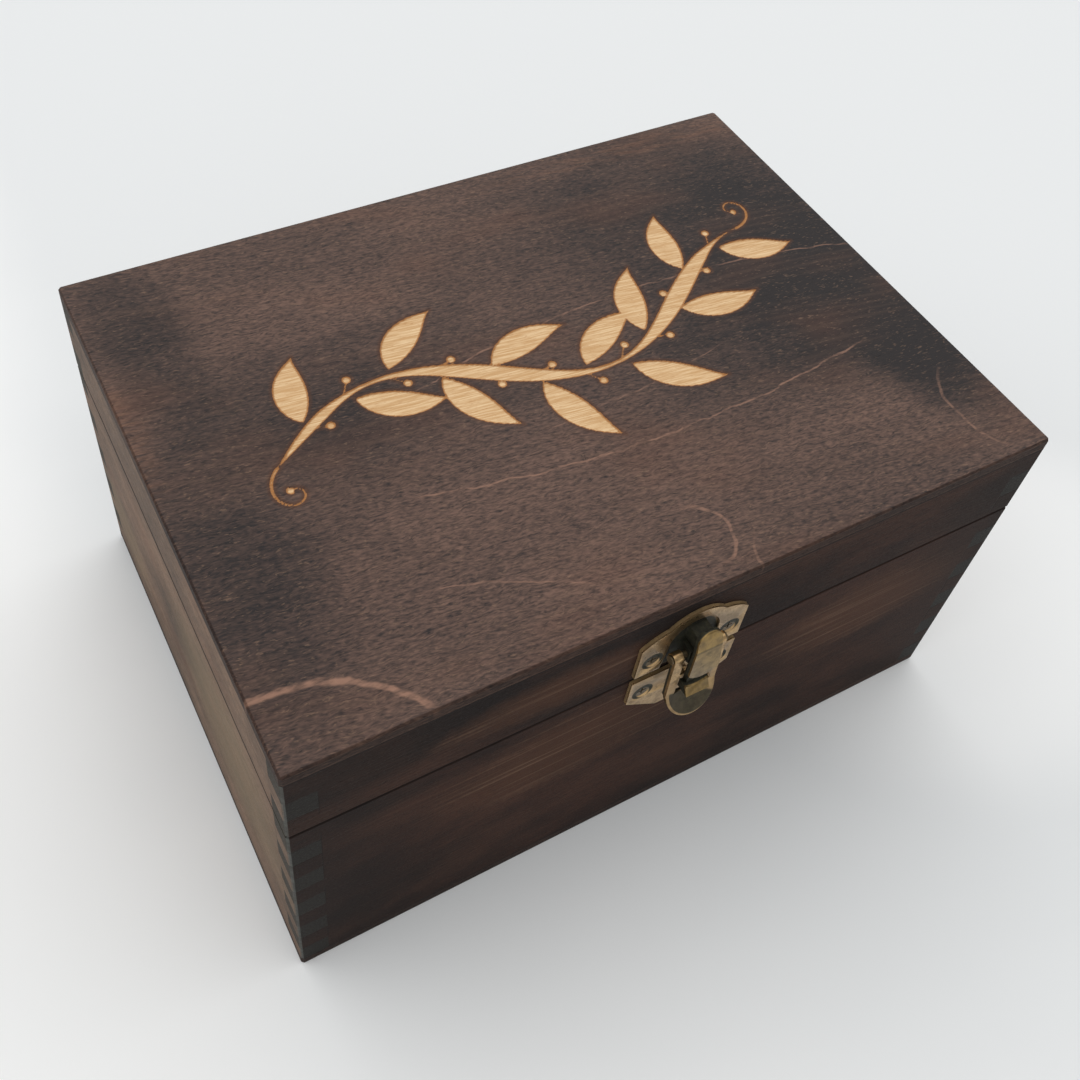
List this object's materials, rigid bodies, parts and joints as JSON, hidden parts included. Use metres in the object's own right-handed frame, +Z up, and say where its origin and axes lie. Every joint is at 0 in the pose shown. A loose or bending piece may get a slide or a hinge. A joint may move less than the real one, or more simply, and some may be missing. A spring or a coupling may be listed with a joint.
{
  "type": "keepsake box",
  "caption": "Rectangular stained wooden keepsake box with finger-jointed corners, a full-size hinged lid and an antique brass hasp latch.",
  "frame": {"origin": "middle of the flat underside", "axes": "+X along the long front to the right, +Y from the latch to the hinges, +Z up"},
  "size_m": [0.22, 0.1733, 0.114],
  "materials": {
    "stained_wood": "dark walnut stain with open grain, satin",
    "stained_plywood": "dark walnut stain on plywood, satin",
    "antique_brass": "aged, dark in the recesses and worn bright on the edges",
    "screw_brass": "aged countersunk screws"
  },
  "bodies": {
    "base": {"base_bottom_panel": "stained_plywood", "base_front_board": "stained_wood", "base_back_board": "stained_wood", "base_left_board": "stained_wood", "base_right_board": "stained_wood", "hinge_left_base_leaf": "antique_brass", "hinge_right_base_leaf": "antique_brass", "hinge_left_pin": "antique_brass", "hinge_right_pin": "antique_brass", "hinge_base_screws": "screw_brass", "latch_base_plate": "antique_brass", "latch_base_screws": "screw_brass"},
    "lid": {"lid_top_panel": "stained_plywood", "lid_front_board": "stained_wood", "lid_back_board": "stained_wood", "lid_left_board": "stained_wood", "lid_right_board": "stained_wood", "hinge_left_lid_leaf": "antique_brass", "hinge_right_lid_leaf": "antique_brass", "hinge_lid_screws": "screw_brass", "latch_lid_plate": "antique_brass", "latch_pin": "antique_brass", "latch_lid_screws": "screw_brass"},
    "hasp": {"latch_hasp": "antique_brass"}
  },
  "joints": [
    {"name": "lid_hinge", "type": "hinge", "parent": "base", "child": "lid", "pos_m": [0, 0.0821, 0.0842], "axis": [-1, 0, 0], "range_deg": [0, 180]},
    {"name": "hasp_swing", "type": "hinge", "parent": "lid", "child": "hasp", "pos_m": [-0.0036, -0.0835, 0.0939], "axis": [-1, 0, 0], "range_deg": [0, 150]}
  ]
}
